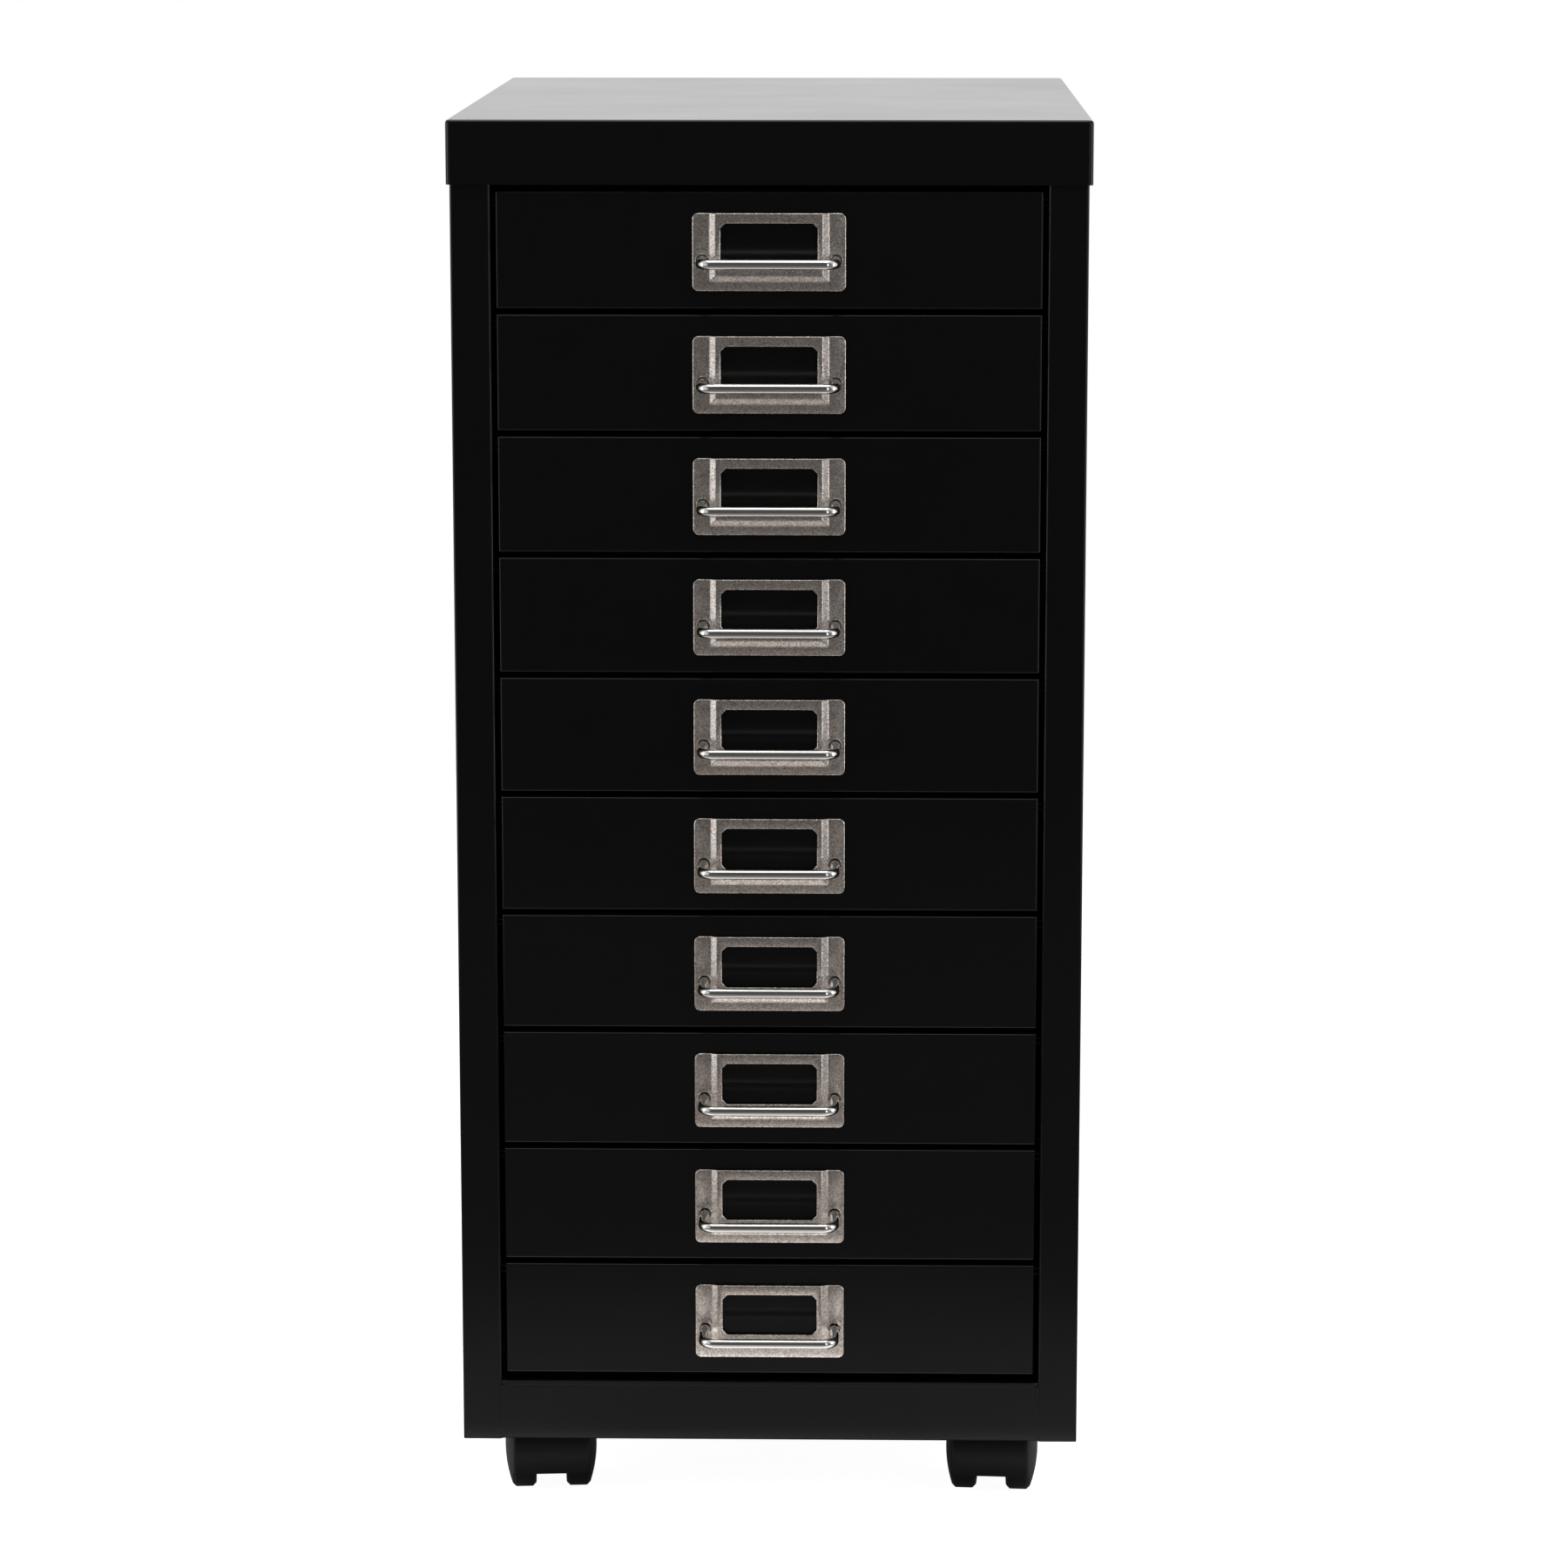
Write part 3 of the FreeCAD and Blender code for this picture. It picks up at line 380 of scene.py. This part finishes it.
def plated_steel(name, plating):
    """Dull plated steel with a fine speckle."""
    finish = new_finish(name)
    return finish.finished(
        Base_Color=finish.tint(plating.colour, finish.grains(plating.speckle_size),
                               darkest=0.6, lightest=1.36),
        Metallic=1.0,
        Roughness=finish.varied(finish.noise(PLATING_CLOUD_WIDTH, detail=4.0), plating.roughness,
                                less=0.02, more=0.03),
        Normal=finish.bump(finish.noise(plating.speckle_size, detail=1.0), plating.speckle_depth))


def bright_chrome(name, chrome):
    """Chrome with a faint ripple and slightly uneven gloss."""
    finish = new_finish(name)
    return finish.finished(
        Base_Color=finish.tint(chrome.colour, finish.noise(CHROME_MOTTLE_WIDTH, detail=3.0),
                               darkest=0.95, lightest=1.05),
        Metallic=1.0,
        Roughness=finish.varied(finish.noise(CHROME_CLOUD_WIDTH, detail=4.0), chrome.roughness,
                                less=0.02, more=0.05),
        Normal=finish.bump(finish.noise(CHROME_RIPPLE_WIDTH), CHROME_RIPPLE_DEPTH))


def moulded_nylon(name, nylon, colour):
    """Black nylon with a fine moulded grain."""
    finish = new_finish(name)
    grain = finish.noise(nylon.grain_size, detail=3.0)
    return finish.finished(
        Base_Color=finish.tint(colour, finish.noise(NYLON_MOTTLE_WIDTH, detail=4.0),
                               darkest=0.85, lightest=1.2),
        Roughness=finish.varied(grain, nylon.roughness, less=0.06, more=0.08),
        IOR=nylon.index,
        Normal=finish.bump(grain, NYLON_GRAIN_DEPTH))


def zinc_plate(name, zinc):
    """Zinc plating with faint spangles."""
    finish = new_finish(name)
    return finish.finished(
        Base_Color=finish.tint(zinc.colour, finish.grains(ZINC_SPANGLE_WIDTH),
                               darkest=0.88, lightest=1.12),
        Metallic=1.0,
        Roughness=finish.varied(finish.noise(ZINC_CLOUD_WIDTH, detail=4.0), zinc.roughness,
                                less=0.06, more=0.1),
        Normal=finish.bump(finish.noise(ZINC_RIPPLE_WIDTH, detail=3.0), ZINC_RIPPLE_DEPTH))


def studio_floor(name, studio):
    """A painted pool of light: pale round the cabinet and painted shade further off, with a painted glow near
    the cabinet that only reflections see; white to the camera.
    """
    finish = new_finish(name)
    place = finish.coordinates["Object"]
    distance = finish.add("ShaderNodeVectorMath", operation="LENGTH", Vector=place).outputs["Value"]
    radii = {"start": studio.floor_near_radius, "end": studio.floor_far_radius, "kind": "SMOOTHSTEP"}
    spread = finish.between(distance, 0, 1, **radii)
    # Painted pool of light: the floor's colour is pale near the cabinet and painted shade further off
    colour = finish.mixed(spread, (*studio.floor_painted_light, 1), (*studio.floor_painted_shade, 1))
    diffuse = finish.add("ShaderNodeBsdfDiffuse", Color=colour)
    ray = finish.add("ShaderNodeLightPath").outputs
    mirrored = finish.calculated("MAXIMUM", ray["Is Glossy Ray"], ray["Is Transmission Ray"])
    # Painted glow seen only in reflections: strongest at the near radius, gone by the far radius
    painted_glow = finish.calculated("MULTIPLY", mirrored, finish.between(distance, studio.floor_painted_glow, 0, **radii))
    strength = finish.calculated("MULTIPLY_ADD", ray["Is Camera Ray"], CAMERA_WHITE, painted_glow)
    # White to the camera, plus the painted glow that reflections see
    white_and_painted_glow = finish.add("ShaderNodeEmission", Strength=strength)
    both = finish.add("ShaderNodeAddShader")
    for socket, shader in zip(both.inputs, (diffuse, white_and_painted_glow)):
        finish.feed(socket, shader.outputs[0])
    return finish.ended(both, "ShaderNodeOutputMaterial")


def studio_world(name, studio):
    """White to the camera, and to everything else a dim room that is paler behind the cabinet."""
    finish = Finish(bpy.data.worlds.new(name))
    direction = finish.add("ShaderNodeSeparateXYZ", Vector=finish.coordinates["Generated"])
    room = finish.between(direction.outputs["Y"], studio.room_front, studio.room_behind,
                          start=studio.dark_cone, end=studio.bright_side, kind="SMOOTHSTEP")
    ray = finish.add("ShaderNodeLightPath").outputs
    strength = finish.calculated("MAXIMUM", room, ray["Is Camera Ray"])
    background = finish.add("ShaderNodeBackground", Color=(1, 1, 1, 1), Strength=strength)
    return finish.ended(background, "ShaderNodeOutputWorld")


def arc_points(across, up, radius, start, turn, count):
    """Points along a circle's arc, with its start and turn in degrees."""
    angles = [math.radians(start + turn * k / count) for k in range(count + 1)]
    return [(across + radius * math.cos(angle), up + radius * math.sin(angle)) for angle in angles]


def rounded_box(half, low, high, radius):
    """The outline of an upright rectangle with round corners."""
    corners = ((half, low, -90), (half, high, 0), (-half, high, 90), (-half, low, 180))
    points = []
    for across, up, start in corners:
        inner_across = across - math.copysign(radius, across)
        inner_up = up + radius if up == low else up - radius
        points += arc_points(inner_across, inner_up, radius, start, 90, CORNER_SIDES)
    return points


def inside(point, outline):
    """True if the point lies within the closed outline."""
    within = False
    for first, second in zip(outline, outline[1:] + outline[:1]):
        if (first[1] > point[1]) != (second[1] > point[1]):
            crossing = first[0] + (point[1] - first[1]) / (second[1] - first[1]) * (second[0] - first[0])
            within ^= point[0] < crossing
    return within


def eased(share, soft=STEP_SOFTNESS):
    """A straight ramp from 0 to 1 whose two ends are rounded over the soft share."""
    if share <= -soft:
        return 0.0
    if share < soft:
        return (share + soft) ** 2 / (4 * soft)
    if share < 1 - soft:
        return share
    return 1 - max(1 + soft - share, 0) ** 2 / (4 * soft)


def distance_to(point, loops):
    """How far a point is from the nearest of some closed outlines."""
    least = math.inf
    for loop in loops:
        for first, second in zip(loop, loop[1:] + loop[:1]):
            run, climb = second[0] - first[0], second[1] - first[1]
            across, up = point[0] - first[0], point[1] - first[1]
            along = (across * run + up * climb) / (run ** 2 + climb ** 2)
            along = min(max(along, 0), 1)
            least = min(least, math.hypot(across - along * run, up - along * climb))
    return least


def rounded_away(distance, radius):
    """How far an edge's rounding sets the face back at some distance in from the edge."""
    if distance >= radius:
        return 0.0
    return radius - math.sqrt(radius ** 2 - (radius - distance) ** 2)


def window_outline(side, low, high, cut, grown):
    """The card window with its four cut corners, grown outward all round."""
    side, low, high = side + grown, low - grown, high + grown
    cut += grown * (2 - math.sqrt(2))
    return [(side - cut, low), (side, low + cut), (side, high - cut), (side - cut, high),
            (cut - side, high), (-side, high - cut), (-side, low + cut), (cut - side, low)]


def sheet_with_holes(outline, holes, lines, rings):
    """Triangles that fill an outline, less its holes, with edges along extra straight lines and rings."""
    points = []
    edges = []
    for ring in [outline] + holes + rings:
        first = len(points)
        points += ring
        edges += [(first + k, first + (k + 1) % len(ring)) for k in range(len(ring))]
    for start, end in lines:
        edges.append((len(points), len(points) + 1))
        points += [start, end]
    filled = delaunay_2d_cdt([Vector(point) for point in points], edges, [], 0, SAME_POINT)
    spots, faces = filled[0], filled[2]
    kept = []
    for face in faces:
        middle = [sum(spots[k][axis] for k in face) / 3 for axis in (0, 1)]
        if inside(middle, outline) and not any(inside(middle, hole) for hole in holes):
            kept.append(face)
    return spots, kept


def leg_holes(plating, up, grown):
    """The two round holes for the handle's legs, grown outward all round."""
    return [arc_points(across, up, plating.leg_hole + grown, 0, 360, HOLE_SIDES)[:-1]
            for across in (-plating.leg_half, plating.leg_half)]


def card_holder_mesh(name, plating, node):
    """The pressed plate: flat flanges, a raised card pocket open at the top, a window and two leg holes."""
    low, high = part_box(node)
    top, bottom = high.z, low.z
    back = high.y
    half = high.x
    rise = (high.y - low.y) - plating.sheet
    outline = rounded_box(half, bottom, top, plating.corner)
    window_top = top - plating.window_drop
    window_low = window_top - plating.window_height
    side, cut = plating.window_half, plating.window_chamfer
    leg_up = top - plating.leg_drop
    window = window_outline(side, window_low, window_top, cut, 0)
    legs = leg_holes(plating, leg_up, 0)
    rings = []
    for share in EDGE_RING_SHARES:
        inset = share * plating.edge_round
        rings.append(rounded_box(half - inset, bottom + inset, top - inset, plating.corner - inset))
        rings.append(window_outline(side, window_low, window_top, cut, inset))
        rings += leg_holes(plating, leg_up, inset)
    foot = top - plating.pocket_drop
    lines = []
    for row in range(-ROWS_PAST_STEP, STEP_ROWS + ROWS_PAST_STEP + 1):
        share = row / STEP_ROWS
        across = plating.pocket_half - share * plating.step_run
        lines += [((sign * across, bottom), (sign * across, top)) for sign in (-1, 1)]
        up = foot + share * plating.step_run
        lines.append(((-half, up), (half, up)))
    spots, faces = sheet_with_holes(outline, [window] + legs, lines, rings)
    verts = []
    for spot in spots:
        across = (plating.pocket_half - abs(spot[0])) / plating.step_run
        up = (spot[1] - foot) / plating.step_run
        lift = rise * min(eased(across), eased(up))
        setback = rounded_away(distance_to(spot, [outline, window] + legs), plating.edge_round)
        verts.append((spot[0], back - plating.sheet - lift + setback, spot[1]))
    used = sorted({k for face in faces for k in face})
    renumbered = {old: new for new, old in enumerate(used)}
    mesh = bpy.data.meshes.new(name)
    mesh.from_pydata([verts[k] for k in used], [], [[renumbered[k] for k in face] for face in faces])
    mesh.validate()
    return mesh


def add_area_lamp(name, place, target, width, height, power):
    """A soft rectangular lamp that faces its target."""
    lamp = bpy.data.lights.new(name, "AREA")
    lamp.shape = "RECTANGLE"
    lamp.size = width
    lamp.size_y = height
    lamp.energy = power
    holder = bpy.data.objects.new(name, lamp)
    holder.visible_camera = False
    bpy.context.scene.collection.objects.link(holder)
    holder.location = place
    holder.rotation_euler = (Vector(target) - Vector(place)).to_track_quat("-Z", "Y").to_euler()


class CABINET_OT_paint_casing(bpy.types.Operator):
    """Paints the folded sheets of the casing."""
    bl_idname = "cabinet.paint_casing"
    bl_label = "Paint casing"

    def execute(self, context):
        put_on(stoved_paint("casing_paint", context.scene.cabinet_paint), nodes_in_slot("body_paint"))
        return {"FINISHED"}


class CABINET_OT_paint_drawers(bpy.types.Operator):
    """Paints the ten drawer trays."""
    bl_idname = "cabinet.paint_drawers"
    bl_label = "Paint drawers"

    def execute(self, context):
        put_on(stoved_paint("drawer_paint", context.scene.cabinet_paint), nodes_in_slot("drawer_paint"))
        return {"FINISHED"}


class CABINET_OT_plate_card_holders(bpy.types.Operator):
    """Plates the ten pressed card holders."""
    bl_idname = "cabinet.plate_card_holders"
    bl_label = "Plate card holders"

    def execute(self, context):
        plating = context.scene.card_holder_plating
        material = plated_steel("card_holder_plating", plating)
        for node in nodes_in_slot("label_plate"):
            mesh = card_holder_mesh(node + "_pressed", plating, node)
            mesh.materials.append(material)
            mesh.shade_smooth()
            holder = bpy.data.objects.new(node + "_pressed", mesh)
            context.scene.collection.objects.link(holder)
            thick = holder.modifiers.new("sheet", "SOLIDIFY")
            thick.thickness = plating.sheet
            thick.offset = -1
            crisp = holder.modifiers.new("crisp_back", "EDGE_SPLIT")
            crisp.split_angle = CREASE_ANGLE
            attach(holder, BODY_OF[node])
            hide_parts(node)
        return {"FINISHED"}


class CABINET_OT_chrome_handles(bpy.types.Operator):
    """Gives the ten wire handles their chrome."""
    bl_idname = "cabinet.chrome_handles"
    bl_label = "Chrome handles"

    def execute(self, context):
        put_on(bright_chrome("handle_chrome", context.scene.handle_chrome), nodes_in_slot("chrome"))
        return {"FINISHED"}


class CABINET_OT_finish_casters(bpy.types.Operator):
    """Gives the caster hoods and wheels their moulded nylon."""
    bl_idname = "cabinet.finish_casters"
    bl_label = "Finish casters"

    def execute(self, context):
        nylon = context.scene.caster_nylon
        put_on(moulded_nylon("hood_nylon", nylon, nylon.hood_colour), nodes_in_slot("hood_nylon"))
        put_on(moulded_nylon("wheel_nylon", nylon, nylon.wheel_colour), nodes_in_slot("wheel_nylon"))
        return {"FINISHED"}


class CABINET_OT_plate_fasteners(bpy.types.Operator):
    """Gives the caster plates, pins, axles, screws and nuts their zinc."""
    bl_idname = "cabinet.plate_fasteners"
    bl_label = "Plate fasteners"

    def execute(self, context):
        put_on(zinc_plate("fastener_zinc", context.scene.fastener_zinc), nodes_in_slot("zinc_plate"))
        return {"FINISHED"}


class CABINET_OT_set_studio(bpy.types.Operator):
    """Adds the floor, the lamps, the white surroundings and the camera."""
    bl_idname = "cabinet.set_studio"
    bl_label = "Set studio"

    def execute(self, context):
        studio = context.scene.cabinet_studio
        self.add_floor(context, studio)
        for name, place, target, width, height, power in LAMPS:
            add_area_lamp(name, place, target, width, height, getattr(studio, power))
        context.scene.world = studio_world("studio", studio)
        self.add_camera(context, studio)
        context.scene.view_settings.view_transform = "Standard"
        return {"FINISHED"}

    def add_floor(self, context, studio):
        mesh = bpy.data.meshes.new("studio_floor")
        count = studio.floor_sides
        turns = [2 * math.pi * k / count for k in range(count)]
        ring = [(studio.floor_radius * math.cos(turn), studio.floor_radius * math.sin(turn), 0)
                for turn in turns]
        mesh.from_pydata(ring, [], [list(range(count))])
        mesh.materials.append(studio_floor("studio_floor", studio))
        floor = bpy.data.objects.new("studio_floor", mesh)
        context.scene.collection.objects.link(floor)

    def add_camera(self, context, studio):
        lens = bpy.data.cameras.new("photo_camera")
        lens.lens = studio.lens
        lens.sensor_width = FILM_WIDTH_MM
        lens.clip_end = VIEW_DEPTH
        camera = bpy.data.objects.new("photo_camera", lens)
        context.scene.collection.objects.link(camera)
        camera.location = studio.camera_place
        camera.rotation_euler = (studio.camera_tilt, 0, studio.camera_turn)
        context.scene.camera = camera


class CABINET_PT_finishes(bpy.types.Panel):
    """Lists the cabinet's finishing steps and their settings."""
    bl_idname = "CABINET_PT_finishes"
    bl_label = "Drawer cabinet"
    bl_space_type = "VIEW_3D"
    bl_region_type = "UI"
    bl_category = "Cabinet"

    def draw(self, context):
        for operator in OPERATORS:
            self.layout.operator(operator.bl_idname)
        for name, group in SETTINGS.items():
            settings = getattr(context.scene, name)
            for prop in group.__annotations__:
                self.layout.prop(settings, prop)


OPERATORS = (
    CABINET_OT_paint_casing,
    CABINET_OT_paint_drawers,
    CABINET_OT_plate_card_holders,
    CABINET_OT_chrome_handles,
    CABINET_OT_finish_casters,
    CABINET_OT_plate_fasteners,
    CABINET_OT_set_studio,
)


def register():
    for name, group in SETTINGS.items():
        bpy.utils.register_class(group)
        setattr(bpy.types.Scene, name, PointerProperty(type=group))
    for operator in OPERATORS:
        bpy.utils.register_class(operator)
    bpy.utils.register_class(CABINET_PT_finishes)


def unregister():
    bpy.utils.unregister_class(CABINET_PT_finishes)
    for operator in reversed(OPERATORS):
        bpy.utils.unregister_class(operator)
    for name, group in SETTINGS.items():
        delattr(bpy.types.Scene, name)
        bpy.utils.unregister_class(group)


def main():
    register()
    for operator in OPERATORS:
        family, step = operator.bl_idname.split(".")
        getattr(getattr(bpy.ops, family), step)()


if __name__ == "__main__":
    main()
